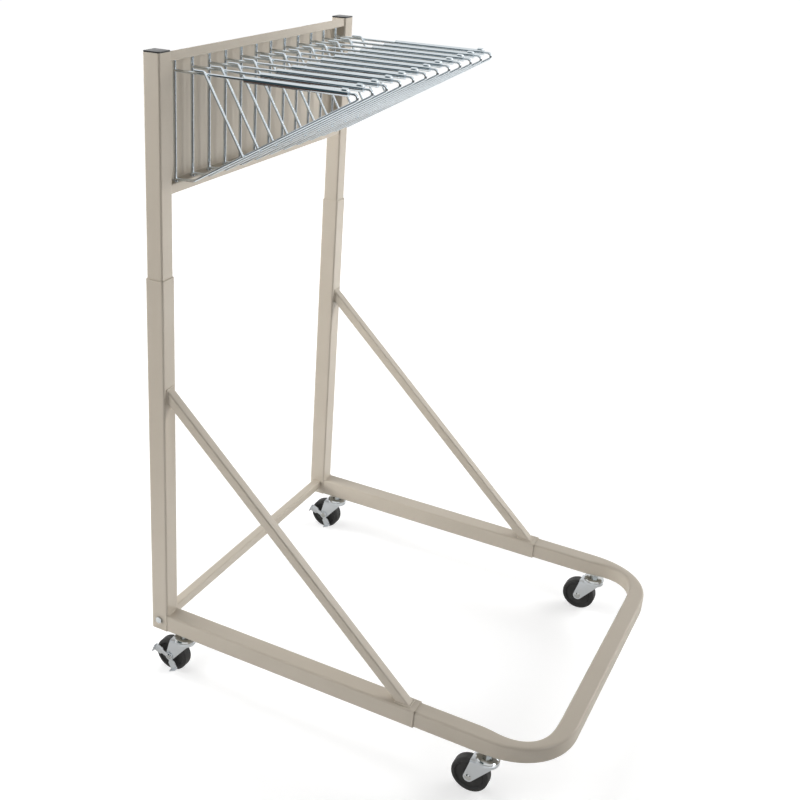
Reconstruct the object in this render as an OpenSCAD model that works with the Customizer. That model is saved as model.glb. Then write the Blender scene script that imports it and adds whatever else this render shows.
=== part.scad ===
// Rolling stand for clamped sheets: two telescoping posts carry a steel panel
// whose wire hangers swing like pages, and a base that pulls out on four casters.
// Lengths are in millimetres. The front is -Y, up is +Z, and the floor is z = 0.
// x = 0 is midway between the posts and y = 0 is the centre line of the posts.

/* [Frame tubes] */
// Outside size of the square tube of the lower posts and base arms
post_size = 38.1; // [34:0.1:44]
// Wall of the square tubes
tube_wall = 1.5; // [1.2:0.1:2]
// Outside corner radius of the square tubes
tube_corner = 4; // [3:0.1:5]
// Gap on each side between two telescoping tubes
slide_gap = 0.3; // [0.2:0.05:0.5]
// Outside size of the square tube of the braces and the crossbar
brace_size = 20; // [18:0.1:25]
// Outside corner radius of that tube
brace_corner = 3; // [2:0.1:4]

/* [Stand] */
// Width over the outer faces of the lower posts
stand_width = 710; // [690:1:800]
// Length of the lower posts
lower_post_len = 758; // [700:1:900]
// Length of the upper posts above the lower ones
upper_post_show = 399; // [380:1:440]
// Length of the upper posts inside the lower ones
upper_post_inside = 520; // [480:1:560]
// Length of the base arms
base_arm_len = 550; // [500:1:620]
// Height of the braces' top end above the base frame's underside
brace_rise = 542; // [450:1:640]
// Distance from the front end of a base arm back to the foot of its brace
brace_foot_back = 12; // [2:0.5:30]
// Height of the crossbar's centre above the base frame's underside
crossbar_rise = 24; // [19:0.5:30]

/* [Front loop] */
// Reach of the front loop in front of the base arms
loop_show = 272; // [240:1:320]
// Length of the front loop's legs inside the base arms
loop_inside = 300; // [240:1:360]
// Centre line radius of the front loop's bends
loop_bend = 112; // [100:1:130]
// Radius that the inner walls of those bends are pressed to
loop_inner_bend = 63; // [63:1:80]

/* [Hanger panel] */
// Height of the hanger panel
panel_h = 246; // [230:1:260]
// Depth of the hanger panel, from its lips to its back
panel_depth = 23.5; // [20:0.5:25]
// Distance of the lips behind the front faces of the upper posts
panel_set_back = 3; // [1:0.5:5]
// Thickness of the panel's sheet
panel_sheet = 1.5; // [1.2:0.1:2]
// Outside radius of the panel's folds
panel_fold = 3; // [2.5:0.1:4]
// Height of the lips turned up and down along the panel's front
panel_lip = 17; // [12:0.5:22]

/* [Hangers] */
// Number of hangers
hanger_count = 12; // [10:2:12]
// Distance from each end of the panel to the nearest pivot rod
hanger_end_gap = 24.5; // [20:0.5:40]
// Diameter of the pivot rods
rod_d = 6; // [5.5:0.1:7]
// Gap round a pivot rod in its holes
rod_gap = 0.05; // [0.02:0.01:0.1]
// Distance of the pivot rods behind the front of the panel's lips
rod_behind_lip = 8; // [6.5:0.5:10]
// Length of pivot rod that stands out beyond the flanges of the panel
rod_poke = 4; // [1:0.5:8]
// Diameter of the hanger wire
wire_d = 5; // [4:0.1:5.5]
// Distance of the hanger arms below the top of the panel
arm_drop = 35; // [30:0.5:42]
// Reach from a pivot rod to where its arm and lower wire would meet
hanger_reach = 368; // [340:1:420]
// Radius of the bend at the tip of a hanger
tip_bend = 6; // [4.5:0.1:7]
// Reach of the kink in the lower wire
kink_reach = 40; // [30:1:60]
// Gap between the lower wire and the panel's bottom flange
wire_clear = 1.5; // [0.8:0.1:4]
// Distance that the lower wire sinks from the kink back to its rod
kink_sink = 3; // [0:0.5:4]
// Reach of the strut where it hooks over the arm
strut_top_reach = 64; // [50:1:80]
// Reach of the strut's foot on the lower wire
strut_foot_reach = 143; // [120:1:180]
// Length of the strut's end that lies back along the arm
strut_tail = 20; // [12:1:30]
// Diameter of the sleeve on a hanger arm
sleeve_d = 11; // [9:0.1:13]
// Reach from a pivot rod to the near end of its sleeve
sleeve_start = 142; // [120:1:160]
// Length of the sleeve
sleeve_len = 194; // [170:1:196]
// Height of the stop at the sleeve's far end
sleeve_stop = 3; // [2:0.5:4]

/* [Casters] */
// Diameter of the wheels
wheel_d = 72; // [66:0.1:80]
// Width of the wheels' tread
wheel_w = 23; // [18:0.5:26]
// Gap between a wheel and the crown of its fork
fork_clear = 1.3; // [0.8:0.1:4]
// Distance of the axle behind the swivel axis
caster_trail = 28; // [25:0.5:33]
// Distance of the rear casters' stems in front of the posts
rear_stem_lead = 31; // [24:0.5:60]
// Diameter of the stems
stem_d = 10; // [8:0.1:12]
// Diameter of the swivel race
race_d = 45; // [42:0.5:48]
// Diameter of the axles
axle_d = 8; // [7:0.1:10]
// Thickness of the forks' pressed steel
fork_sheet = 2.5; // [2:0.1:3]

/* [Brake levers] */
// Thickness of the levers' sheet
lever_sheet = 2; // [1.5:0.1:2.5]
// Length of the pedal arm from the axle
pedal_arm = 37; // [30:0.5:40]
// Slope of the pedal arm above the horizontal
pedal_slope = 20; // [10:1:35]
// Length of the heel arm, which hangs from the axle
heel_arm = 30; // [24:0.5:31]
// Depth of the tabs turned out at the ends of both arms
lever_tab = 8; // [4:0.5:12]

/* [Hidden] */
$fn = 48;
corner_fn = 32;
beige = "#BDB3A2";
zinc = "#C9CDD0";
chrome = "#DADDE0";
black_plastic = "#1D1D1F";
wheel_black = "#2A2A2B";

// Sizes that follow from the ones above
sides = [-1, 1];
side_names = ["left", "right"];
slide_size = post_size - 2 * tube_wall - 2 * slide_gap;
slide_corner = tube_corner - slide_gap;
post_x = stand_width / 2 - post_size / 2;
post_front = -post_size / 2;
collar_h = 9;
cap_race_h = 6;
race_split = 1.2;
crown_race_h = 5;
frame_lift = wheel_d + fork_clear + fork_sheet + crown_race_h + race_split + cap_race_h + collar_h;
lower_top = frame_lift + lower_post_len;
post_top = lower_top + upper_post_show;
arm_mid_z = frame_lift + post_size / 2;
arm_top_z = frame_lift + post_size;
arm_end = post_front - base_arm_len;
loop_front = arm_end - loop_show;
loop_mid = loop_front + slide_size / 2;
loop_bend_start = loop_mid + loop_bend;
loop_rear = arm_end + loop_inside;
loop_lift = (post_size - slide_size) / 2;
plate_lap = 0.3;
weld_nudge = 0.4;
cut_over = 1;

// Screws and bolts
bolt_d = 8;
bolt_head_flats = 13;
bolt_head_h = 4.5;
bolt_gap = 0.1;
lock_from_end = 25;
lock_nut_flats = 14;
lock_nut_h = 4;
lock_sink = 0.5;
lock_socket_flats = 4;
lock_socket_h = 3;
lock_tip_gap = 0.1;
end_plate = 4;

// Post caps
cap_t = 2.5;
cap_plug = 14;
cap_gap = 0.1;

// Panel and hangers
panel_len = 2 * (post_x - slide_size / 2);
lip_y = -slide_size / 2 + panel_set_back;
rod_y = lip_y + rod_behind_lip;
panel_bottom = post_top - panel_h;
arm_z = post_top - arm_drop;
hanger_pitch = (panel_len - 2 * hanger_end_gap) / (hanger_count - 1);
flange_out = panel_lip - panel_sheet;
rod_collar_w = 2;
rod_collar_h = 3;
rod_collar_gap = 0.3;
rod_low = panel_bottom + flange_out - rod_poke - arm_z;
rod_high = post_top - flange_out + rod_poke - arm_z;
kink_drop = panel_h - panel_lip - arm_drop - kink_sink - wire_d / 2 - wire_clear;
kink = [kink_reach, -kink_drop];
tip_corner = [hanger_reach, 0];
kink_bend = 10;
strut_lap = wire_d - weld_nudge;
strut_bend = wire_d;
strut_over = 1.5;
bend_swell = 0.1;
bend_run_in = 0.6;
sleeve_gap = 0.15;
sleeve_end = sleeve_start + sleeve_len;
stop_r = 4;
stop_len = 7;

// Casters, with heights counted from the race's top
collar_flats = 17;
stem_up = 24;
race_slope = 7;
race_edge = 2;
crown_inset = 0.5;
crown_edge = 1.5;
ball_d = 5;
ball_count = 10;
ball_fit = 0.02;
ball_gap = 0.2;
ball_from_rim = 5;
ball_ring = race_d / 2 - ball_from_rim;
pin_gap = 0.06;
pin_head_gap = 0.4;
pin_head_d = 18;
pin_head_h = 3;
race_top = frame_lift - collar_h;
ball_z = -cap_race_h - race_split / 2;
crown_top = -cap_race_h - race_split;
crown_plate = crown_top - crown_race_h;
crown_low = crown_plate - fork_sheet;
axle_z = wheel_d / 2 - race_top;
hub_proud = 2;
hub_w = wheel_w + 2 * hub_proud;
hub_gap = 0.6;
hub_d = 26;
hub_slope = 3;
wheel_dish = 3;
wheel_rim = 9;
rim_slope = 2;
tread_round = 4;
tread_step = 30;
fork_half = hub_w / 2 + hub_gap;
fork_bend = 4;
leg_inset = 1;
leg_tip_r = 9.5;
axle_gap = 0.05;
axle_head_d = 13;
axle_head_top = 9;
axle_head_h = 1.6;
lever_gap = 0.3;
lever_hub_r = 8.5;
lever_neck = 10;
pad_len = 17;
pad_slope = 3;
pedal_w = 18;
heel_w = 16;
heel_lean = 26;
rear_stem_y = post_front - rear_stem_lead;
front_stem_y = loop_bend_start;

function two_digits(i) = i < 10 ? str("0", i) : str(i);
function hanger_name(i, piece) = str("hanger_", two_digits(i), "_", piece);
function hanger_x(i) = (i - (hanger_count + 1) / 2) * hanger_pitch;
function caster_name(end, side, piece) = str(end, "_", side, "_caster_", piece);

function unit(v) = v / norm(v);
// Signed angle from direction u to direction v
function turn(u, v) = atan2(u.x * v.y - u.y * v.x, u * v);
// Point where a line from p touches the circle of radius r round c, on the left or right side of p to c
function touch_point(p, c, r, side) =
    let (d = c - p, reach = norm(d), a = atan2(d.y, d.x) + side * asin(r / reach))
    p + sqrt(reach * reach - r * r) * [cos(a), sin(a)];
// Height of the lower wire at a given reach beyond the kink
function lower_wire_h(reach) = -kink_drop * (hanger_reach - reach) / (hanger_reach - kink_reach);

// Square or oblong with round corners
module rounded_rect(w, h, r) {
    square([w - 2 * r, h], center = true);
    square([w, h - 2 * r], center = true);
    for (x = sides, y = sides)
        translate([x * (w / 2 - r), y * (h / 2 - r)])
            circle(r, $fn = corner_fn);
}

// Section of a square tube
module tube_section(size, corner) {
    difference() {
        rounded_rect(size, size, corner);
        rounded_rect(size - 2 * tube_wall, size - 2 * tube_wall, corner - tube_wall);
    }
}

// Square tube that stands on its lower end
module tube(size, corner, length) {
    linear_extrude(length)
        tube_section(size, corner);
}

// Square tube that runs from its rear end at the origin to the front
module tube_forward(size, corner, length) {
    rotate([90, 0, 0])
        tube(size, corner, length);
}

// Hexagonal prism with the given distance over its flats
module hex_prism(flats, h) {
    cylinder(d = flats / cos(30), h = h, $fn = 6);
}

// Bolt that points along +Z, with its head under z = 0
module hex_bolt(length) {
    translate([0, 0, -bolt_head_h])
        hex_prism(bolt_head_flats, bolt_head_h);
    cylinder(d = bolt_d, h = length);
}

// Round wire through points in a plane, with a bend radius at each inner point
module bent_wire(points, bends, d) {
    last = len(points) - 1;
    steps = [for (i = [0:last - 1]) unit(points[i + 1] - points[i])];
    trims = [for (i = [0:last])
        i == 0 || i == last ? 0 : bends[i - 1] * tan(abs(turn(steps[i - 1], steps[i])) / 2) - bend_run_in];
    for (i = [0:last - 1]) {
        start = points[i] + steps[i] * trims[i];
        run = norm(points[i + 1] - points[i]) - trims[i] - trims[i + 1];
        translate([start.x, start.y, 0])
            rotate([0, 90, atan2(steps[i].y, steps[i].x)])
                cylinder(d = d, h = run);
    }
    for (i = [1:last - 1]) {
        a = turn(steps[i - 1], steps[i]);
        start = points[i] - steps[i - 1] * (trims[i] + bend_run_in);
        across = sign(a) * [-steps[i - 1].y, steps[i - 1].x] * bends[i - 1];
        centre = start + across;
        from = atan2(-across.y, -across.x);
        translate([centre.x, centre.y, 0])
            rotate([0, 0, a > 0 ? from : from + a])
                rotate_extrude(angle = abs(a))
                    translate([bends[i - 1], 0])
                        circle(d = d + 2 * bend_swell);
    }
}

// Lower post with holes for the crossbar bolt and the height lock
module lower_post(s) {
    color(beige)
    difference() {
        translate([s * post_x, 0, frame_lift])
            tube(post_size, tube_corner, lower_post_len);
        translate([s * (post_x + post_size), 0, frame_lift + crossbar_rise])
            rotate([0, -s * 90, 0])
                cylinder(d = bolt_d + 2 * bolt_gap, h = 2 * post_size);
        translate([s * post_x, 0, lower_top - lock_from_end])
            rotate([-90, 0, 0])
                cylinder(d = bolt_d + 2 * bolt_gap, h = post_size);
    }
}

// Base arm with holes below for the rear caster's stem and the depth lock
module base_arm(s) {
    color(beige)
    difference() {
        translate([s * post_x, post_front, arm_mid_z])
            tube_forward(post_size, tube_corner, base_arm_len);
        translate([s * post_x, rear_stem_y, frame_lift - tube_wall])
            cylinder(d = stem_d + 2 * bolt_gap, h = 3 * tube_wall);
        translate([s * post_x, arm_end + lock_from_end, frame_lift - tube_wall])
            cylinder(d = bolt_d + 2 * bolt_gap, h = 3 * tube_wall);
    }
}

// Brace, cut square against the post's front face and the arm's top face
module brace(s) {
    foot = [arm_end + brace_foot_back, arm_top_z];
    head = [post_front, frame_lift + brace_rise];
    slope = atan2(head.y - foot.y, head.x - foot.x);
    run = norm(head - foot);
    over = 2 * brace_size;
    color(beige)
    difference() {
        translate([s * post_x, foot.x, foot.y])
            rotate([slope, 0, 0])
                translate([0, -over, -brace_size / 2])
                    rotate([-90, 0, 0])
                        tube(brace_size, brace_corner, run + 2 * over);
        translate([s * post_x - brace_size, foot.x - 2 * over, arm_top_z - 3 * over])
            cube([2 * brace_size, run + 4 * over, 3 * over]);
        translate([s * post_x - brace_size, post_front, arm_top_z - over])
            cube([2 * brace_size, 3 * over, run + 4 * over]);
    }
}

// Crossbar between the posts, with an end plate for each bolt
module rear_crossbar() {
    bar_len = 2 * (post_x - post_size / 2);
    bar_in = brace_size - 2 * tube_wall;
    color(beige)
    translate([0, 0, frame_lift + crossbar_rise])
    difference() {
        union() {
            translate([-bar_len / 2, 0, 0])
                rotate([90, 0, 90])
                    tube(brace_size, brace_corner, bar_len);
            for (s = sides)
                translate([s * (bar_len - end_plate) / 2, 0, 0])
                    cube([end_plate, bar_in, bar_in], center = true);
        }
        for (s = sides)
            translate([s * bar_len / 2, 0, 0])
                rotate([0, -s * 90, 0])
                    translate([0, 0, -end_plate])
                        cylinder(d = bolt_d + 2 * bolt_gap, h = 3 * end_plate);
    }
}

// Bolts through the lower posts into the crossbar's ends
module crossbar_bolts() {
    color(zinc)
    for (s = sides)
        translate([s * stand_width / 2, 0, frame_lift + crossbar_rise])
            rotate([0, -s * 90, 0])
                hex_bolt(post_size + 3 * end_plate);
}

// Headless screw in a low weld nut: the nut sits on z = 0 and the screw's tip is below it
module lock_screw() {
    tip = tube_wall + slide_gap - lock_tip_gap;
    screw_top = lock_nut_h - lock_sink;
    difference() {
        hex_prism(lock_nut_flats, lock_nut_h);
        translate([0, 0, -cut_over])
            cylinder(d = bolt_d + 2 * bolt_gap, h = lock_nut_h + 2 * cut_over);
    }
    difference() {
        translate([0, 0, -tip])
            cylinder(d = bolt_d, h = tip + screw_top);
        translate([0, 0, screw_top - lock_socket_h])
            hex_prism(lock_socket_flats, lock_socket_h + cut_over);
    }
}

// Screws on the backs of the lower posts that hold the upper posts
module height_lock_screws() {
    color(zinc)
    for (s = sides)
        translate([s * post_x, post_size / 2, lower_top - lock_from_end])
            rotate([-90, 0, 0])
                lock_screw();
}

// Screws under the base arms that hold the front loop
module depth_lock_screws() {
    color(zinc)
    for (s = sides)
        translate([s * post_x, arm_end + lock_from_end, frame_lift])
            rotate([180, 0, 0])
                lock_screw();
}

// Upper post, which slides in the lower post
module upper_post(s) {
    color(beige)
    translate([s * post_x, 0, lower_top - upper_post_inside])
        tube(slide_size, slide_corner, upper_post_inside + upper_post_show);
}

// Plastic caps on the upper posts
module post_caps() {
    plug = slide_size - 2 * tube_wall - 2 * cap_gap;
    plug_corner = slide_corner - tube_wall;
    color(black_plastic)
    for (s = sides)
        translate([s * post_x, 0, post_top]) {
            linear_extrude(cap_t)
                rounded_rect(slide_size, slide_size, slide_corner);
            translate([0, 0, -cap_plug])
                linear_extrude(cap_plug)
                    rounded_rect(plug, plug, plug_corner);
        }
}

// Folded panel: a channel open to the front with its lips turned away, drilled for the pivot rods
module hanger_panel() {
    hole_d = rod_d + 2 * rod_gap;
    color(beige)
    difference() {
        translate([-panel_len / 2, lip_y, post_top - panel_h / 2])
            rotate([90, 0, 90])
                linear_extrude(panel_len)
                    panel_section();
        for (i = [1:hanger_count], z = [panel_bottom + flange_out, post_top - panel_lip])
            translate([hanger_x(i), rod_y, z - panel_sheet])
                cylinder(d = hole_d, h = 3 * panel_sheet);
    }
}

// Section of the panel, with its front at x = 0 and its middle height at y = 0
module panel_section() {
    half = panel_h / 2;
    back_half = half - flange_out;
    for (m = [0, 1])
        mirror([0, m]) {
            translate([0, half - panel_lip])
                sheet_angle(panel_depth - panel_fold, panel_lip);
            translate([panel_depth, back_half])
                rotate(180)
                    sheet_angle(panel_depth - panel_fold, back_half);
        }
}

// Folded sheet with legs along +X and +Y from its outer corner
module sheet_angle(across, up) {
    translate([panel_fold, 0])
        square([across - panel_fold, panel_sheet]);
    translate([0, panel_fold])
        square([panel_sheet, up - panel_fold]);
    intersection() {
        translate([panel_fold, panel_fold])
            difference() {
                circle(panel_fold);
                circle(panel_fold - panel_sheet);
            }
        square(panel_fold);
    }
}

// Bent tube that slides in both base arms and carries the front casters
module front_loop() {
    straight = 2 * (post_x - loop_bend);
    color(beige)
    difference() {
        translate([0, 0, arm_mid_z]) {
            translate([-straight / 2, loop_mid, 0])
                rotate([90, 0, 90])
                    tube(slide_size, slide_corner, straight);
            for (s = sides) {
                translate([s * post_x, loop_rear, 0])
                    tube_forward(slide_size, slide_corner, loop_rear - loop_bend_start);
                translate([s * straight / 2, loop_bend_start, 0])
                    rotate([0, 0, s > 0 ? 270 : 180])
                        loop_corner();
            }
        }
        for (s = sides)
            translate([s * post_x, front_stem_y, frame_lift])
                cylinder(d = stem_d + 2 * bolt_gap, h = loop_lift + 2 * tube_wall);
    }
}

// Quarter turn of the front loop, with its inner wall pressed to a tighter radius than its outer wall
module loop_corner() {
    run = loop_bend - slide_size / 2 - loop_inner_bend;
    rotate_extrude(angle = 90)
        translate([loop_bend, 0])
            loop_half(1);
    translate([run, run, 0])
        rotate_extrude(angle = 90)
            translate([loop_inner_bend + slide_size / 2, 0])
                loop_half(-1);
    translate([loop_bend, run, 0])
        rotate([90, 0, 0])
            linear_extrude(run)
                loop_half(-1);
    translate([0, loop_bend, 0])
        rotate([90, 0, 90])
            linear_extrude(run)
                loop_half(-1);
}

// Half of the front loop's section: its right half for side 1 and its left half for side -1
module loop_half(side) {
    intersection() {
        tube_section(slide_size, slide_corner);
        translate([side > 0 ? -plate_lap : plate_lap - slide_size, -slide_size])
            square([slide_size, 2 * slide_size]);
    }
}

// Puts a hanger's own plane, with reach along X and height along Y, at its place on the panel
module at_hanger(i) {
    translate([hanger_x(i), rod_y, arm_z])
        rotate([90, 0, -90])
            children();
}

// Bent and welded wire of one hanger: the pivot rod, the loop of arm and lower wire, and the strut
module hanger_frame(i) {
    strut_top = [strut_top_reach, strut_lap];
    strut_foot = [strut_foot_reach, lower_wire_h(strut_foot_reach)];
    foot_end = strut_foot + strut_over * unit(strut_foot - strut_top);
    color(chrome)
    at_hanger(i) {
        translate([0, rod_low, 0])
            rotate([-90, 0, 0])
                cylinder(d = rod_d, h = rod_high - rod_low);
        translate([0, rod_low + rod_poke + panel_sheet + rod_collar_gap, 0])
            rotate([-90, 0, 0])
                cylinder(d = rod_d + 2 * rod_collar_w, h = rod_collar_h);
        bent_wire([[0, -kink_drop - kink_sink], kink, tip_corner, [0, 0]],
            [kink_bend, tip_bend], wire_d);
        translate([0, 0, strut_lap])
            bent_wire([foot_end, strut_top, strut_top - [strut_tail, 0]], [strut_bend], wire_d);
    }
}

// Sleeve on a hanger's arm, with a stop on top of its far end
module hanger_sleeve(i) {
    stop_h = sleeve_d / 2 + sleeve_stop - stop_r;
    color(chrome)
    at_hanger(i)
    difference() {
        union() {
            translate([sleeve_start, 0, 0])
                rotate([0, 90, 0])
                    cylinder(d = sleeve_d, h = sleeve_len);
            translate([sleeve_end - stop_len - stop_r, stop_h, 0])
                rotate([0, 90, 0])
                    cylinder(r = stop_r, h = stop_len);
            for (reach = [sleeve_end - stop_len - stop_r, sleeve_end - stop_r])
                translate([reach, stop_h, 0])
                    sphere(r = stop_r);
        }
        translate([sleeve_start - cut_over, 0, 0])
            rotate([0, 90, 0])
                cylinder(d = wire_d + 2 * sleeve_gap, h = sleeve_len + 2 * cut_over);
    }
}

// Place of a caster's swivel axis at the top of its race
module at_caster(end, s) {
    translate([s * post_x, end == "rear" ? rear_stem_y : front_stem_y, race_top])
        children();
}

// Ring groove that the race's balls run in, with a gap round the balls
module ball_groove(gap) {
    translate([0, 0, ball_z])
        rotate_extrude()
            translate([ball_ring, 0])
                circle(d = ball_d + 2 * gap);
}

// Stem with its collar, the upper half of the race and the riveted king pin
module caster_stem(end, s) {
    lift = end == "rear" ? 0 : loop_lift;
    race_r = race_d / 2;
    pin_low = crown_low - pin_head_gap;
    color(zinc)
    at_caster(end, s)
    difference() {
        union() {
            hex_prism(collar_flats, collar_h + lift);
            translate([0, 0, pin_low])
                cylinder(d = stem_d, h = collar_h + lift + stem_up - pin_low);
            rotate_extrude()
                polygon([[0, 0], [race_r - race_slope, 0], [race_r - race_edge, -race_edge],
                    [race_r, -2 * race_edge], [race_r, -cap_race_h], [0, -cap_race_h]]);
            translate([0, 0, pin_low - pin_head_h])
                cylinder(d = pin_head_d, h = pin_head_h);
        }
        ball_groove(ball_fit);
    }
}

// Balls of the swivel races at one end of the stand
module caster_balls(end) {
    color(zinc)
    for (s = sides)
        at_caster(end, s)
            for (k = [0:ball_count - 1])
                rotate([0, 0, k * 360 / ball_count])
                    translate([ball_ring, 0, ball_z])
                        sphere(d = ball_d);
}

// Pressed fork: the lower half of the race, the crown and two legs that taper to the axle
module caster_fork(end, s) {
    crown_r = race_d / 2 - crown_inset;
    half = fork_half + fork_sheet;
    leg_front = sqrt(crown_r * crown_r - half * half) - leg_inset;
    color(zinc)
    at_caster(end, s)
    difference() {
        union() {
            translate([0, 0, crown_plate])
                rotate_extrude()
                    polygon([[0, 0], [crown_r, 0], [crown_r, crown_race_h - crown_edge],
                        [crown_r - crown_edge, crown_race_h], [0, crown_race_h]]);
            translate([0, 0, crown_low])
                cylinder(r = crown_r, h = fork_sheet);
            translate([fork_bend - half, -leg_front, crown_low])
                cube([2 * (half - fork_bend), leg_front + caster_trail, fork_sheet]);
            for (m = [0, 1])
                mirror([m, 0, 0]) {
                    translate([half - fork_bend, caster_trail, crown_plate - fork_bend])
                        rotate([90, 0, 0])
                            linear_extrude(leg_front + caster_trail)
                                fork_fold();
                    translate([fork_half, 0, 0])
                        rotate([90, 0, 90])
                            linear_extrude(fork_sheet)
                                leg_outline(-leg_front, caster_trail, crown_plate - fork_bend);
                }
        }
        ball_groove(ball_gap);
        translate([0, 0, crown_low - cut_over])
            cylinder(d = stem_d + 2 * pin_gap, h = fork_sheet + crown_race_h + 2 * cut_over);
        translate([-half - cut_over, caster_trail, axle_z])
            rotate([0, 90, 0])
                cylinder(d = axle_d + 2 * axle_gap, h = 2 * half + 2 * cut_over);
    }
}

// Section of the fold between the crown and a leg of the fork
module fork_fold() {
    intersection() {
        difference() {
            circle(fork_bend);
            circle(fork_bend - fork_sheet);
        }
        square(fork_bend);
    }
}

// Side view of a fork leg: a straight top edge that tapers to a round end at the axle
module leg_outline(front, rear, top) {
    axle = [caster_trail, axle_z];
    front_top = [front, top];
    rear_top = [rear, top];
    polygon([front_top, rear_top, touch_point(rear_top, axle, leg_tip_r, 1), axle,
        touch_point(front_top, axle, leg_tip_r, -1)]);
    translate(axle)
        circle(leg_tip_r);
}

// Axle with a head at each end, longer on the left where it carries a brake lever
module caster_axle(end, s) {
    half = fork_half + fork_sheet;
    left = half + (end == "rear" ? lever_sheet + 2 * lever_gap : 0);
    color(zinc)
    at_caster(end, s)
        translate([0, caster_trail, axle_z])
            rotate([0, 90, 0]) {
                translate([0, 0, -left])
                    cylinder(d = axle_d, h = left + half);
                translate([0, 0, -left - axle_head_h])
                    cylinder(d1 = axle_head_top, d2 = axle_head_d, h = axle_head_h);
                translate([0, 0, half])
                    cylinder(d1 = axle_head_d, d2 = axle_head_top, h = axle_head_h);
            }
}

// Moulded wheel with a recess round its hub
module caster_wheel(end, s) {
    r = wheel_d / 2;
    half = wheel_w / 2;
    web = half - wheel_dish;
    bore = axle_d / 2 + axle_gap;
    shoulder = [for (a = [0:tread_step:90])
        [r - tread_round + tread_round * sin(a), half - tread_round + tread_round * cos(a)]];
    side_line = concat([[bore, hub_w / 2], [hub_d / 2 - hub_slope, hub_w / 2], [hub_d / 2, web],
        [r - wheel_rim, web], [r - wheel_rim + rim_slope, half]], shoulder);
    other_side = [for (i = [len(side_line) - 1:-1:0]) [side_line[i].x, -side_line[i].y]];
    color(wheel_black)
    at_caster(end, s)
        translate([0, caster_trail, axle_z])
            rotate([0, 90, 0])
                rotate_extrude($fn = 96)
                    polygon(concat(side_line, other_side));
}

// Pressed lever on the axle with a pedal behind and a heel below, each with a tab turned out
module brake_lever(s) {
    color(zinc)
    at_caster("rear", s)
        translate([-fork_half - fork_sheet - lever_gap, caster_trail, axle_z])
            rotate([90, 0, -90])
            difference() {
                union() {
                    cylinder(r = lever_hub_r, h = lever_sheet);
                    rotate([0, 0, 180 - pedal_slope])
                        lever_arm(pedal_arm, pedal_w);
                    rotate([0, 0, 270 + heel_lean])
                        lever_arm(heel_arm, heel_w);
                }
                translate([0, 0, -cut_over])
                    cylinder(d = axle_d + 2 * axle_gap, h = lever_sheet + 2 * cut_over);
            }
}

// Arm of a brake lever along +X, which widens to a pad with a tab turned out at its end
module lever_arm(reach, w) {
    pad = reach - pad_len;
    upper_edge = [[0, lever_neck / 2], [pad - pad_slope, lever_neck / 2], [pad, w / 2], [reach, w / 2]];
    lower_edge = [for (i = [len(upper_edge) - 1:-1:0]) [upper_edge[i].x, -upper_edge[i].y]];
    linear_extrude(lever_sheet)
        polygon(concat(upper_edge, lower_edge));
    translate([reach - lever_sheet, -w / 2, 0])
        cube([lever_sheet, w, lever_sheet + lever_tab]);
}

for (k = [0, 1]) {
    lower_post(sides[k]);
    base_arm(sides[k]);
    brace(sides[k]);
    upper_post(sides[k]);
    brake_lever(sides[k]);
}
rear_crossbar();
crossbar_bolts();
height_lock_screws();
depth_lock_screws();
post_caps();
hanger_panel();
front_loop();
for (i = [1:hanger_count]) {
    hanger_frame(i);
    hanger_sleeve(i);
}
for (end = ["rear", "front"]) {
    caster_balls(end);
    for (k = [0, 1]) {
        caster_stem(end, sides[k]);
        caster_fork(end, sides[k]);
        caster_axle(end, sides[k]);
        caster_wheel(end, sides[k]);
    }
}
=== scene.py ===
"""Looks of a rolling pivot rack: beige enamelled tube, chromed wire hangers and zinc plated casters."""

import math

import bpy
from bpy.props import FloatProperty, FloatVectorProperty, PointerProperty
from mathutils import Matrix, Vector


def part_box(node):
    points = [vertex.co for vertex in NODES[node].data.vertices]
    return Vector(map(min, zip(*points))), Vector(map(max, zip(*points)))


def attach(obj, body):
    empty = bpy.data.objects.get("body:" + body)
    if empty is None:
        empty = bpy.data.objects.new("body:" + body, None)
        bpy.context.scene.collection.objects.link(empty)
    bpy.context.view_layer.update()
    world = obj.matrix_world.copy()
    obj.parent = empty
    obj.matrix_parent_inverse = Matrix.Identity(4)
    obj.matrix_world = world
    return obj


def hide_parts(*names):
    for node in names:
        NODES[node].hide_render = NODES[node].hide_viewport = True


bl_info = {
    "name": "Rolling pivot rack",
    "version": (1, 0, 0),
    "blender": (4, 5, 0),
    "location": "View3D > Sidebar > Pivot rack",
    "description": "Finishes, welds and studio of a rolling rack with swinging wire hangers",
    "category": "Object",
}

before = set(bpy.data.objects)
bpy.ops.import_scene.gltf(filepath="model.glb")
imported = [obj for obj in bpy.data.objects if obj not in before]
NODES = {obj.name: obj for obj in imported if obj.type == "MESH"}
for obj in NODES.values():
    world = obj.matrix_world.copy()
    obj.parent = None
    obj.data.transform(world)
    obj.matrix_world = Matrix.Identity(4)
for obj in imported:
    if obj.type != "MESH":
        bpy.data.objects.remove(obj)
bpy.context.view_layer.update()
MM = 0.001
MERGE = 0.01 * MM
SIDES = ("left", "right")
ENDS = ("rear", "front")


def linear(hex_colour):
    """Linear RGB of an sRGB hex colour."""
    channels = [int(hex_colour[i : i + 2], 16) / 255 for i in (1, 3, 5)]
    return tuple(c / 12.92 if c <= 0.04045 else ((c + 0.055) / 1.055) ** 2.4 for c in channels)


def colour_setting(label, about, hex_colour):
    """A colour that the user can change."""
    return FloatVectorProperty(name=label, description=about, subtype="COLOR", size=3, min=0, max=1,
                               default=linear(hex_colour))


def length_setting(label, about, millimetres):
    """A length that the user can change."""
    return FloatProperty(name=label, description=about, unit="LENGTH", precision=5, min=0,
                         default=millimetres * MM)


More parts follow.
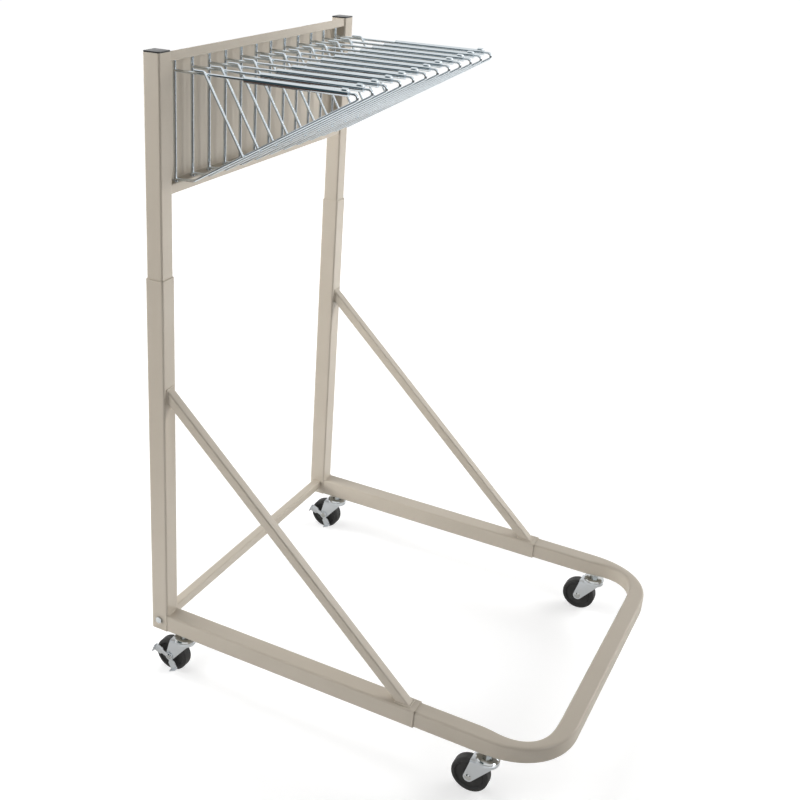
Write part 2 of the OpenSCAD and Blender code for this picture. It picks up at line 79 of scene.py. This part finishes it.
class RackFinishes(bpy.types.PropertyGroup):
    """Colours of the rack's finishes."""

    enamel: colour_setting("Enamel", "Paint on the tubes and the panel", "#C1B8AA")
    enamel_deep: colour_setting("Enamel, deep", "Paint where it lies a little thicker", "#BAB0A1")
    chrome: colour_setting("Chrome", "Plating on the hangers", "#D3DBE0")
    zinc: colour_setting("Zinc", "Plating on the casters and screws", "#C4CDD4")
    zinc_warm: colour_setting("Zinc, warm", "Yellow cast in patches of the zinc", "#CBC8C0")
    cap: colour_setting("Caps", "Plastic caps on the posts", "#1A1B1D")
    wheel: colour_setting("Wheels", "Hard rubber of the wheels", "#272727")


class RackDetails(bpy.types.PropertyGroup):
    """Sizes of the rack's small details."""

    tube_corner: length_setting("Tube corner", "Outside corner radius of the sliding tubes", 3.7)
    tube_wall: length_setting("Tube wall", "Wall of the tubes", 1.5)
    loop_bend: length_setting("Loop bend", "Centre line radius of the front loop's bends", 112)
    loop_press: FloatProperty(name="Loop press", description="Share of its depth that a bent tube loses",
                              subtype="FACTOR", min=0, max=0.6, default=0.29)
    loop_spread: length_setting("Loop spread", "How far the outer wall of a bend stands out", 4)
    bead: length_setting("Weld bead", "Radius of the weld beads on the tubes", 2.4)
    ripple: length_setting("Weld ripple", "Distance between the ripples of a weld bead", 2.6)
    cap_edge: length_setting("Cap edge", "Rounding along the top edge of the post caps", 1.1)
    cap_plate: length_setting("Cap plate", "Thickness of the plate of a post cap", 2.5)
    pressed_edge: length_setting("Pressed edge", "Rounding along the edges of pressed steel", 0.5)


class RackStage(bpy.types.PropertyGroup):
    """Camera and light of the studio."""

    eye: FloatVectorProperty(name="Camera", description="Place of the camera", subtype="TRANSLATION",
                             unit="LENGTH", size=3, default=(-1.9349, -1.1671, 1.5436))
    yaw: FloatProperty(name="Yaw", description="Camera's turn from the rack's front towards its right",
                       subtype="ANGLE", default=math.radians(61.61))
    pitch: FloatProperty(name="Pitch", description="Camera's tilt below the horizon", subtype="ANGLE",
                         default=math.radians(23.41))
    roll: FloatProperty(name="Roll", description="Camera's roll", subtype="ANGLE", default=math.radians(2.24))
    lens: FloatProperty(name="Lens", description="Focal length in millimetres", min=10, default=51.57)
    shift: FloatVectorProperty(name="Shift", description="Shift of the frame, across and up", size=2,
                               default=(0.12, -0.044))
    backdrop: colour_setting("Backdrop", "Colour of the floor and the backdrop", "#FFFFFF")
    ambient: FloatProperty(name="Ambient", description="Strength of the light from all round", min=0,
                           default=0.05)


def add_node(tree, kind, inputs=None, **settings):
    """Adds a node, gives it its settings, and sets or links its inputs by name or number."""
    made = tree.nodes.new(kind)
    for key, value in settings.items():
        setattr(made, key, value)
    for key, value in (inputs or {}).items():
        if isinstance(value, bpy.types.NodeSocket):
            tree.links.new(value, made.inputs[key])
        else:
            made.inputs[key].default_value = value
    return made


def start_material(name, colour, metallic, roughness):
    """A material with its plain values set, and its tree, its shader and Object coordinates."""
    made = bpy.data.materials.new(name)
    made.use_nodes = True
    made.diffuse_color = (*colour, 1)
    tree = made.node_tree
    shader = tree.nodes["Principled BSDF"]
    shader.inputs["Base Color"].default_value = (*colour, 1)
    shader.inputs["Metallic"].default_value = metallic
    shader.inputs["Roughness"].default_value = roughness
    place = add_node(tree, "ShaderNodeTexCoord").outputs["Object"]
    return made, tree, shader, place


def vary_colour(tree, shader, place, size, detail, first, second):
    """Colour that drifts between two colours over patches of the given size."""
    patch = add_node(tree, "ShaderNodeTexNoise", {"Vector": place, "Scale": 1 / size, "Detail": detail})
    mixed = add_node(tree, "ShaderNodeMix", {0: patch.outputs["Fac"], 6: (*first, 1), 7: (*second, 1)},
                     data_type="RGBA")
    tree.links.new(mixed.outputs[2], shader.inputs["Base Color"])


def vary_roughness(tree, shader, place, size, low, high):
    """Roughness that changes over patches of the given size."""
    patch = add_node(tree, "ShaderNodeTexNoise", {"Vector": place, "Scale": 1 / size, "Detail": 3.0})
    spread = add_node(tree, "ShaderNodeMapRange", {"Value": patch.outputs["Fac"], "From Min": 0.3,
                                                   "From Max": 0.7, "To Min": low, "To Max": high})
    tree.links.new(spread.outputs["Result"], shader.inputs["Roughness"])


def add_grain(tree, shader, place, size, depth, strength):
    """Bump of a fine grain."""
    grain = add_node(tree, "ShaderNodeTexNoise", {"Vector": place, "Scale": 1 / size, "Detail": 2.0})
    bump = add_node(tree, "ShaderNodeBump", {"Height": grain.outputs["Fac"], "Distance": depth,
                                             "Strength": strength})
    tree.links.new(bump.outputs["Normal"], shader.inputs["Normal"])


def baked_enamel(finishes):
    """Baked enamel on steel tube: a semi-gloss coat with a faint orange peel and a slow drift of colour."""
    made, tree, shader, place = start_material("baked_enamel", finishes.enamel, metallic=0, roughness=0.3)
    vary_colour(tree, shader, place, size=120 * MM, detail=3.0, first=finishes.enamel,
                second=finishes.enamel_deep)
    vary_roughness(tree, shader, place, size=60 * MM, low=0.28, high=0.32)
    # Orange peel is about 1 mm wide, drawn at 3 mm so that it shows
    add_grain(tree, shader, place, size=3 * MM, depth=0.2 * MM, strength=0.05)
    return made


def chrome_plate(finishes):
    """Chrome plate on drawn wire: a bright mirror with a faint haze in patches."""
    made, tree, shader, place = start_material("chrome_plate", finishes.chrome, metallic=1, roughness=0.08)
    vary_roughness(tree, shader, place, size=12 * MM, low=0.05, high=0.12)
    # Drawing and bending leave the wire a little uneven over about its own width
    add_grain(tree, shader, place, size=6 * MM, depth=0.1 * MM, strength=0.06)
    return made


def zinc_plate(finishes):
    """Bright zinc plate on pressed steel: blue-white metal with a warm cast in patches and a soft shine."""
    made, tree, shader, place = start_material("zinc_plate", finishes.zinc, metallic=1, roughness=0.12)
    vary_colour(tree, shader, place, size=20 * MM, detail=2.0, first=finishes.zinc,
                second=finishes.zinc_warm)
    vary_roughness(tree, shader, place, size=6 * MM, low=0.08, high=0.16)
    # Spangles of bright zinc are under 1 mm wide, drawn at 2 mm so that they show
    add_grain(tree, shader, place, size=2 * MM, depth=0.1 * MM, strength=0.03)
    return made


def moulded_polyethylene(finishes):
    """Moulded black polyethylene: a soft sheen over a fine grain."""
    made, tree, shader, place = start_material("moulded_polyethylene", finishes.cap, metallic=0,
                                               roughness=0.32)
    vary_roughness(tree, shader, place, size=8 * MM, low=0.28, high=0.38)
    # The grain of the mould is about 0.5 mm wide, drawn at 1.5 mm so that it shows
    add_grain(tree, shader, place, size=1.5 * MM, depth=0.1 * MM, strength=0.15)
    return made


def hard_rubber(finishes):
    """Hard black rubber of a moulded wheel: dull, with a little dust in its grain."""
    made, tree, shader, place = start_material("hard_rubber", finishes.wheel, metallic=0, roughness=0.55)
    vary_roughness(tree, shader, place, size=10 * MM, low=0.45, high=0.65)
    # The grain of the rubber is about 0.5 mm wide, drawn at 2 mm so that it shows
    add_grain(tree, shader, place, size=2 * MM, depth=0.2 * MM, strength=0.2)
    return made


def give(names, material):
    """Puts one finish on nodes."""
    for name in names:
        shown = NODES[name]
        shown.data.materials.clear()
        shown.data.materials.append(material)


def nodes_like(*words):
    """Names of the nodes that hold one of the words."""
    return [name for name in NODES if any(word in name for word in words)]


def pick(kind, wanted):
    """In edit mode, selects the vertices, edges or faces that pass a test, and nothing else."""
    bpy.ops.mesh.select_all(action="DESELECT")
    bpy.ops.mesh.select_mode(type={"vertices": "VERT", "edges": "EDGE", "polygons": "FACE"}[kind])
    bpy.ops.object.mode_set(mode="OBJECT")
    for item in getattr(bpy.context.object.data, kind):
        item.select = wanted(item)
    bpy.ops.object.mode_set(mode="EDIT")


def edge_run(points, edge):
    """Vector from one end of an edge to the other."""
    return points[edge.vertices[1]].co - points[edge.vertices[0]].co


def apply_modifier(kind, **settings):
    """Adds a modifier to the active object and applies it."""
    bpy.ops.object.modifier_add(type=kind)
    added = bpy.context.object.modifiers[-1]
    for key, value in settings.items():
        setattr(added, key, value)
    bpy.ops.object.modifier_apply(modifier=added.name)


def settle(piece, name, body, material, angle=35):
    """Names a finished piece, puts its place in its mesh, and gives it its body, finish and shading."""
    bpy.ops.object.select_all(action="DESELECT")
    piece.select_set(True)
    bpy.context.view_layer.objects.active = piece
    bpy.ops.object.transform_apply(location=True, rotation=True, scale=True)
    bpy.ops.object.shade_smooth_by_angle(angle=math.radians(angle))
    piece.name = name
    piece.data.materials.clear()
    piece.data.materials.append(material)
    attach(piece, body)


def join(pieces):
    """Joins pieces into the first one, which becomes the active object."""
    bpy.ops.object.select_all(action="DESELECT")
    for piece in pieces:
        piece.select_set(True)
    bpy.context.view_layer.objects.active = pieces[0]
    bpy.ops.object.join()
    return pieces[0]


class RACK_OT_paint_frame(bpy.types.Operator):
    """Puts enamel on the tubes and the panel, and plastic on the caps"""

    bl_idname = "rack.paint_frame"
    bl_label = "Paint frame"

    def execute(self, context):
        finishes = context.scene.rack_finishes
        tubes = nodes_like("_post", "_arm", "_brace", "crossbar", "loop")
        enamelled = [n for n in tubes if n not in ("crossbar_bolts", "post_caps")]
        give([*enamelled, "hanger_panel"], baked_enamel(finishes))
        give(["post_caps"], moulded_polyethylene(finishes))
        return {"FINISHED"}


class RACK_OT_bend_front_loop(bpy.types.Operator):
    """Bends the front loop from square tube whose inner wall is pressed in at both bends"""

    bl_idname = "rack.bend_front_loop"
    bl_label = "Bend front loop"

    def execute(self, context):
        details = context.scene.rack_details
        low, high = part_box("front_loop")
        size = high.z - low.z
        leg_x = high.x - size / 2
        middle_z = (high.z + low.z) / 2
        centre = Vector((leg_x - details.loop_bend, low.y + size / 2 + details.loop_bend, middle_z))
        run_in = 2 * size
        rings = 12
        # Outline of the tube at the rear end of the right leg
        bpy.ops.object.select_all(action="DESELECT")
        bpy.ops.mesh.primitive_plane_add(size=size, location=(leg_x, high.y, middle_z),
                                         rotation=(math.pi / 2, 0, 0))
        bpy.ops.object.transform_apply(location=True, rotation=True, scale=True)
        loop = context.object
        bpy.ops.object.mode_set(mode="EDIT")
        bpy.ops.mesh.bevel(offset=details.tube_corner, segments=4, affect="VERTICES")
        bpy.ops.mesh.delete(type="ONLY_FACE")
        points = loop.data.vertices
        pick("edges", lambda edge: edge_run(points, edge).length > size / 2)
        bpy.ops.mesh.subdivide(number_cuts=9)
        bpy.ops.mesh.select_all(action="SELECT")
        # Leg, bend and half of the front bar, with rings close together on both sides of the bend
        self.draw_tube(0, centre.y + run_in - high.y)
        for _ in range(rings):
            self.draw_tube(0, -run_in / rings)
        bpy.ops.mesh.spin(steps=36, angle=math.pi / 2, center=centre, axis=(0, 0, 1))
        for _ in range(rings):
            self.draw_tube(-run_in / rings, 0)
        self.draw_tube(run_in - centre.x, 0)
        bpy.ops.object.mode_set(mode="OBJECT")
        # Pressed walls of the bend, the loop's left half, and the thickness of the tube
        self.press_bend(loop, centre, details.loop_bend + size / 2)
        apply_modifier("SMOOTH", iterations=50, vertex_group="pressed")
        apply_modifier("MIRROR", merge_threshold=10 * MERGE)
        bpy.ops.object.mode_set(mode="EDIT")
        bpy.ops.mesh.select_all(action="SELECT")
        bpy.ops.mesh.remove_doubles(threshold=MERGE)
        bpy.ops.mesh.normals_make_consistent(inside=False)
        bpy.ops.object.mode_set(mode="OBJECT")
        apply_modifier("SOLIDIFY", thickness=details.tube_wall, offset=-1)
        settle(loop, "front_loop_tube", "front_slide", bpy.data.materials["baked_enamel"],
               angle=60)
        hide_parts("front_loop")
        return {"FINISHED"}

    def draw_tube(self, x, y):
        """Extrudes the open end of the tube by this much."""
        bpy.ops.mesh.extrude_edges_move(TRANSFORM_OT_translate={"value": (x, y, 0)})

    def press_bend(self, loop, centre, outer):
        """Moves the walls of the bend towards its outer wall, most a little before half of the turn."""
        details = bpy.context.scene.rack_details
        pressed = loop.vertex_groups.new(name="pressed")
        first = math.radians(-14)
        last = math.radians(86)
        for point in loop.data.vertices:
            out = point.co - centre
            angle = math.atan2(-out.y, out.x)
            if not first < angle < last:
                continue
            weight = math.sin(math.pi * (angle - first) / (last - first)) ** 2
            spread = details.loop_spread * max(0, math.sin(2 * angle)) ** 2
            reach = math.hypot(out.x, out.y)
            scale = (outer + spread - (outer - reach) * (1 - details.loop_press * weight)) / reach
            point.co.x = centre.x + out.x * scale
            point.co.y = centre.y + out.y * scale
            pressed.add([point.index], weight, "REPLACE")


class RACK_OT_mould_caps(bpy.types.Operator):
    """Moulds the post caps: a plate with a rounded top edge over a plug"""

    bl_idname = "rack.mould_caps"
    bl_label = "Mould caps"

    def execute(self, context):
        details = context.scene.rack_details
        low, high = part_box("post_caps")
        size = high.y - low.y
        plate_low = high.z - details.cap_plate
        plug_inset = 1.6 * MM
        caps = []
        for x in (low.x + size / 2, high.x - size / 2):
            bpy.ops.object.select_all(action="DESELECT")
            middle = (x, (low.y + high.y) / 2, (plate_low + high.z) / 2)
            bpy.ops.mesh.primitive_cube_add(size=1, location=middle, scale=(size, size, details.cap_plate))
            bpy.ops.object.transform_apply(location=True, rotation=True, scale=True)
            cap = context.object
            bpy.ops.object.mode_set(mode="EDIT")
            points = cap.data.vertices
            # Upright corners of the plate, then its top edge
            pick("edges", lambda edge: abs(edge_run(points, edge).z) > MERGE)
            bpy.ops.mesh.bevel(offset=details.tube_corner, segments=6, affect="EDGES")
            pick("edges", lambda edge: min(points[i].co.z for i in edge.vertices) > high.z - MERGE)
            bpy.ops.mesh.bevel(offset=details.cap_edge, segments=4, affect="EDGES")
            # Plug from the underside of the plate
            pick("polygons", lambda face: face.normal.z < -0.9)
            bpy.ops.mesh.inset(thickness=plug_inset)
            bpy.ops.mesh.extrude_region_move(TRANSFORM_OT_translate={"value": (0, 0, low.z - plate_low)})
            bpy.ops.object.mode_set(mode="OBJECT")
            caps.append(cap)
        made = join(caps)
        settle(made, "moulded_caps", "upper_frame", bpy.data.materials["moulded_polyethylene"])
        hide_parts("post_caps")
        return {"FINISHED"}


class RACK_OT_weld_frame(bpy.types.Operator):
    """Lays weld beads where the arms and braces meet the posts and each other"""

    bl_idname = "rack.weld_frame"
    bl_label = "Weld frame"

    def execute(self, context):
        enamel = bpy.data.materials["baked_enamel"]
        beads = [self.lay_bead(*run) for side in SIDES for run in self.runs(side)]
        made = join(beads)
        apply_modifier("REMESH", mode="VOXEL", voxel_size=0.7 * MM)
        apply_modifier("SMOOTH", iterations=4)
        settle(made, "frame_welds", "base_frame", enamel, angle=60)
        return {"FINISHED"}

    def runs(self, side):
        """Ends of the weld runs on one side of the frame."""
        arm_low, arm_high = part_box(f"{side}_base_arm")
        brace_low, brace_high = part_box(f"{side}_brace")
        corner = bpy.context.scene.rack_details.tube_corner
        slope = math.atan2(brace_high.z - brace_low.z, brace_high.y - brace_low.y)
        width = brace_high.x - brace_low.x
        head_low = brace_high.z - width / math.cos(slope)
        foot_back = brace_low.y + width / math.sin(slope)
        head = [(x, brace_high.y, z) for x in (brace_low.x, brace_high.x) for z in (head_low, brace_high.z)]
        foot = [(x, y, brace_low.z) for x in (brace_low.x, brace_high.x) for y in (brace_low.y, foot_back)]
        # The upright beads fill the grooves beside the rounded corners of the posts
        rear = [(x, arm_high.y + corner / 2, z) for x in (arm_low.x + corner / 4, arm_high.x - corner / 4)
                for z in (arm_low.z + corner / 2, arm_high.z - corner / 2)]
        ends = [((arm_low.x + corner, arm_high.y, arm_high.z), (arm_high.x - corner, arm_high.y, arm_high.z)),
                (rear[0], rear[1]), (rear[2], rear[3])]
        for ring in (head, foot):
            ends += [(ring[0], ring[1]), (ring[2], ring[3]), (ring[0], ring[2]), (ring[1], ring[3])]
        return [(Vector(start), Vector(end)) for start, end in ends]

    def lay_bead(self, start, end):
        """Row of overlapping ripples from one point to another."""
        details = bpy.context.scene.rack_details
        run = end - start
        count = max(2, round(run.length / details.ripple))
        bpy.ops.object.select_all(action="DESELECT")
        bpy.ops.mesh.primitive_ico_sphere_add(subdivisions=2, radius=details.bead, location=start)
        bpy.ops.object.transform_apply(location=True, rotation=True, scale=True)
        apply_modifier("ARRAY", count=count, use_relative_offset=False, use_constant_offset=True,
                       constant_offset_displace=run / (count - 1))
        return bpy.context.object


class RACK_OT_plate_hangers(bpy.types.Operator):
    """Puts chrome on the hangers and their sleeves"""

    bl_idname = "rack.plate_hangers"
    bl_label = "Plate hangers"

    def execute(self, context):
        chrome = chrome_plate(context.scene.rack_finishes)
        hangers = [n for n in nodes_like("hanger_") if n != "hanger_panel"]
        give([n for n in hangers if n.endswith("frame")], chrome)
        give([n for n in hangers if n.endswith("sleeve")], chrome)
        return {"FINISHED"}


class RACK_OT_finish_casters(bpy.types.Operator):
    """Puts zinc on the casters and screws, and rubber on the wheels"""

    bl_idname = "rack.finish_casters"
    bl_label = "Finish casters"

    def execute(self, context):
        finishes = context.scene.rack_finishes
        wheels = nodes_like("_wheel")
        plated = [n for n in nodes_like("caster", "bolts", "screws") if n not in wheels]
        give(plated, zinc_plate(finishes))
        give(wheels, hard_rubber(finishes))
        return {"FINISHED"}


class RACK_OT_press_casters(bpy.types.Operator):
    """Rounds the edges of the pressed forks and brake levers"""

    bl_idname = "rack.press_casters"
    bl_label = "Press casters"

    def execute(self, context):
        for side in SIDES:
            for end in ENDS:
                self.round_edges(f"{end}_{side}_caster_fork", f"{end}_{side}_caster_swivel")
            self.round_edges(f"rear_{side}_caster_brake_lever", f"rear_{side}_caster_brake")
        return {"FINISHED"}

    def round_edges(self, node, body):
        """A copy of a pressed node with its sharp edges rounded, in that node's place."""
        bpy.ops.object.select_all(action="DESELECT")
        pressed = bpy.data.objects.new(f"{node}_pressed", NODES[node].data.copy())
        bpy.context.scene.collection.objects.link(pressed)
        bpy.context.view_layer.objects.active = pressed
        pressed.select_set(True)
        bpy.ops.object.mode_set(mode="EDIT")
        bpy.ops.mesh.select_all(action="SELECT")
        bpy.ops.mesh.remove_doubles(threshold=MERGE)
        bpy.ops.mesh.dissolve_limited(angle_limit=math.radians(1))
        bpy.ops.object.mode_set(mode="OBJECT")
        apply_modifier("BEVEL", width=bpy.context.scene.rack_details.pressed_edge, segments=2,
                       limit_method="ANGLE", angle_limit=math.radians(40))
        settle(pressed, f"{node}_pressed", body, bpy.data.materials["zinc_plate"])
        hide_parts(node)


def add_softbox(name, place, target, size, watts):
    """A square softbox that faces a point, and that shiny surfaces don't mirror."""
    bpy.ops.object.light_add(type="AREA", location=place)
    lamp = bpy.context.object
    lamp.name = name
    lamp.data.shape = "SQUARE"
    lamp.data.size = size
    lamp.data.energy = watts
    lamp.visible_camera = False
    lamp.visible_glossy = False
    lamp.rotation_euler = (Vector(target) - Vector(place)).to_track_quat("-Z", "Y").to_euler()


def seen_share(tree):
    """Socket that is 1 for what the camera sees, also by way of metal or glass."""
    path = add_node(tree, "ShaderNodeLightPath").outputs
    either = add_node(tree, "ShaderNodeMath", {0: path["Is Camera Ray"], 1: path["Is Glossy Ray"]},
                      operation="MAXIMUM")
    return add_node(tree, "ShaderNodeMath", {0: either.outputs[0], 1: path["Is Transmission Ray"]},
                    operation="MAXIMUM").outputs[0]


def light_world(stage):
    """White backdrop with an even light from all round."""
    world = bpy.data.worlds.new("studio")
    bpy.context.scene.world = world
    world.use_nodes = True
    tree = world.node_tree
    strength = add_node(tree, "ShaderNodeMix", {0: seen_share(tree), 2: stage.ambient, 3: 1.0},
                        data_type="FLOAT")
    shade = tree.nodes["Background"]
    shade.inputs["Color"].default_value = (*stage.backdrop, 1)
    tree.links.new(strength.outputs[0], shade.inputs["Strength"])


def bare_material(name):
    """A material with no shader yet, its tree, and the socket that takes its surface."""
    made = bpy.data.materials.new(name)
    made.use_nodes = True
    tree = made.node_tree
    tree.nodes.remove(tree.nodes["Principled BSDF"])
    return made, tree, tree.nodes["Material Output"].inputs["Surface"]


def floor_paper(stage):
    """Matt white paper that keeps the rack's shadow and brightens to white away from the rack."""
    lit_grey = (0.8, 0.8, 0.8, 1)
    seen_grey = (0.6, 0.6, 0.6, 1)
    near, far = (0.8, 3.0)
    near_glow, far_glow = (0.55, 1.0)
    made, tree, surface = bare_material("floor_paper")
    plain = add_node(tree, "ShaderNodeBsdfDiffuse", {"Color": lit_grey})
    matt = add_node(tree, "ShaderNodeBsdfDiffuse", {"Color": seen_grey})
    place = add_node(tree, "ShaderNodeTexCoord").outputs["Object"]
    away = add_node(tree, "ShaderNodeVectorMath", {0: place}, operation="LENGTH").outputs["Value"]
    lift = add_node(tree, "ShaderNodeMapRange", {"Value": away, "From Min": near, "From Max": far,
                                                 "To Min": near_glow, "To Max": far_glow})
    glow = add_node(tree, "ShaderNodeEmission", {"Color": (*stage.backdrop, 1),
                                                 "Strength": lift.outputs["Result"]})
    lifted = add_node(tree, "ShaderNodeAddShader", {0: matt.outputs[0], 1: glow.outputs[0]})
    either = add_node(tree, "ShaderNodeMixShader", {0: seen_share(tree), 1: plain.outputs[0],
                                                    2: lifted.outputs[0]})
    tree.links.new(either.outputs[0], surface)
    return made


def add_card(name, corners, colour, strength=1.0):
    """A card that only shiny surfaces see, which gives them their dark and bright stripes."""
    bpy.ops.object.select_all(action="DESELECT")
    bpy.ops.mesh.primitive_plane_add(size=1)
    card = bpy.context.object
    card.name = name
    for point, corner in zip(card.data.vertices, corners):
        point.co = corner
    made, tree, surface = bare_material(name)
    shown = add_node(tree, "ShaderNodeEmission", {"Color": (*colour, 1), "Strength": strength})
    tree.links.new(shown.outputs[0], surface)
    card.data.materials.append(made)
    card.visible_camera = False
    card.visible_diffuse = False
    card.visible_shadow = False
    card.visible_transmission = False


class RACK_OT_set_stage(bpy.types.Operator):
    """Lays the floor, hangs the cards and softboxes, and sets the camera"""

    bl_idname = "rack.set_stage"
    bl_label = "Set stage"

    def execute(self, context):
        stage = context.scene.rack_stage
        context.scene.view_settings.view_transform = "Standard"
        light_world(stage)
        bpy.ops.mesh.primitive_plane_add(size=40)
        floor = context.object
        floor.name = "floor"
        floor.data.materials.append(floor_paper(stage))
        self.hang_cards()
        self.hang_light_cards()
        middle = (0, -0.35, 0.7)
        add_softbox("side", (-2.4, 1.8, 1.2), middle, size=1.6, watts=53)
        add_softbox("rear", (-0.6, 2.4, 1.0), middle, size=1.2, watts=42)
        add_softbox("overhead", (0, 0.9, 2.2), middle, size=0.8, watts=18)
        add_softbox("corner", (2.3, -2.9, 1.5), middle, size=2.0, watts=82)
        add_softbox("right", (2.9, -1.5, 1.6), middle, size=1.6, watts=33)
        add_softbox("front", (-1.4, -3.9, 1.5), middle, size=2.0, watts=30)
        bpy.ops.object.camera_add(location=stage.eye)
        camera = context.object
        camera.data.lens = stage.lens
        camera.data.sensor_width = 36
        camera.data.shift_x = stage.shift[0]
        camera.data.shift_y = stage.shift[1]
        ahead = Vector((math.sin(stage.yaw) * math.cos(stage.pitch),
                        math.cos(stage.yaw) * math.cos(stage.pitch), -math.sin(stage.pitch)))
        level = Vector((math.cos(stage.yaw), -math.sin(stage.yaw), 0))
        upright = level.cross(ahead)
        right = math.cos(stage.roll) * level + math.sin(stage.roll) * upright
        up = right.cross(ahead)
        camera.rotation_euler = Matrix((right, up, -ahead)).transposed().to_euler()
        context.scene.camera = camera
        return {"FINISHED"}

    def hang_cards(self):
        """Dark cards away from the rack, on the floor and as walls, and pale ones under its shiny parts, all
        seen only in reflections: painted dark reflections, and painted floor shade under the loop and the
        casters.
        """
        left, right, front, split, back = (-3.4, 2.0, -4.5, 0.4, 4.5)
        low, middle, high = (0.002, 1.5, 4.4)
        strip = 1.3
        # Grey, brown and teal cards paint dark reflections into the chrome and zinc
        grey = linear("#6E6967")
        brown = linear("#55453F")
        teal = linear("#3E4F54")
        # Pale grey for the floor's shade under the rack, painted into the reflections of the loop and the
        # casters
        mirrored_floor_shade = linear("#C4C2BE")
        floors = [("back_floor_card", left, right, split, back, brown),
                  ("left_floor_card", left, left + strip, front, split, grey),
                  ("front_floor_card", left + strip, right, front, front + 2 * strip, grey)]
        # Cards under the front loop and under each caster fork: painted shade of the floor, seen only in
        # their reflections
        before_loop = 0.3
        under_loop = 0.03
        loop_low, loop_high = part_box("front_loop")
        floors.append(("loop_floor_card", loop_low.x, loop_high.x + before_loop, loop_low.y - before_loop,
                       loop_low.y + under_loop, mirrored_floor_shade))
        round_fork = 0.12
        for caster in nodes_like("_caster_fork"):
            fork_low, fork_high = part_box(caster)
            floors.append((f"{caster}_card", fork_low.x - round_fork, fork_high.x + round_fork,
                           fork_low.y - round_fork, fork_high.y + round_fork, mirrored_floor_shade))
        for name, x_low, x_high, y_low, y_high, colour in floors:
            add_card(name, [(x, y, low) for y in (y_low, y_high) for x in (x_low, x_high)], colour)
        sides = (("back_wall_card", split, back, high, teal), ("left_wall_card", front, split, middle, grey))
        for name, y_low, y_high, top, colour in sides:
            add_card(name, [(left, y, z) for z in (low, top) for y in (y_low, y_high)], colour)
        add_card("front_wall_card", [(x, front, z) for z in (low, middle) for x in (left, right)], grey)

    def hang_light_cards(self):
        """Bright cards that put a soft shine on the braces and on the upper edges of the loop."""
        white = linear("#FFFFFF")
        corner_x, front_y = (3.0, -4.2)
        add_card("corner_light_card", [(corner_x, y, z) for z in (2.0, 3.7) for y in (-3.6, -2.3)], white,
                 strength=4.5)
        add_card("front_light_card", [(x, front_y, z) for z in (1.9, 3.1) for x in (-1.3, -0.1)], white,
                 strength=8.0)


OPERATORS = (RACK_OT_paint_frame, RACK_OT_bend_front_loop, RACK_OT_mould_caps, RACK_OT_weld_frame,
             RACK_OT_plate_hangers, RACK_OT_finish_casters, RACK_OT_press_casters, RACK_OT_set_stage)


class RACK_PT_panel(bpy.types.Panel):
    """The rack's settings and steps"""

    bl_idname = "RACK_PT_panel"
    bl_label = "Pivot rack"
    bl_space_type = "VIEW_3D"
    bl_region_type = "UI"
    bl_category = "Pivot rack"

    def draw(self, context):
        for group in (context.scene.rack_finishes, context.scene.rack_details, context.scene.rack_stage):
            for name in group.__annotations__:
                self.layout.prop(group, name)
        for operator in OPERATORS:
            self.layout.operator(operator.bl_idname)


GROUPS = {"rack_finishes": RackFinishes, "rack_details": RackDetails, "rack_stage": RackStage}


def register():
    for name, group in GROUPS.items():
        bpy.utils.register_class(group)
        setattr(bpy.types.Scene, name, PointerProperty(type=group))
    for made in (*OPERATORS, RACK_PT_panel):
        bpy.utils.register_class(made)


def unregister():
    for made in (RACK_PT_panel, *reversed(OPERATORS)):
        bpy.utils.unregister_class(made)
    for name, group in reversed(GROUPS.items()):
        delattr(bpy.types.Scene, name)
        bpy.utils.unregister_class(group)


def main():
    register()
    bpy.ops.object.select_all(action="DESELECT")
    bpy.ops.rack.paint_frame()
    bpy.ops.rack.bend_front_loop()
    bpy.ops.rack.mould_caps()
    bpy.ops.rack.weld_frame()
    bpy.ops.rack.plate_hangers()
    bpy.ops.rack.finish_casters()
    bpy.ops.rack.press_casters()
    bpy.ops.rack.set_stage()


if __name__ == "__main__":
    main()
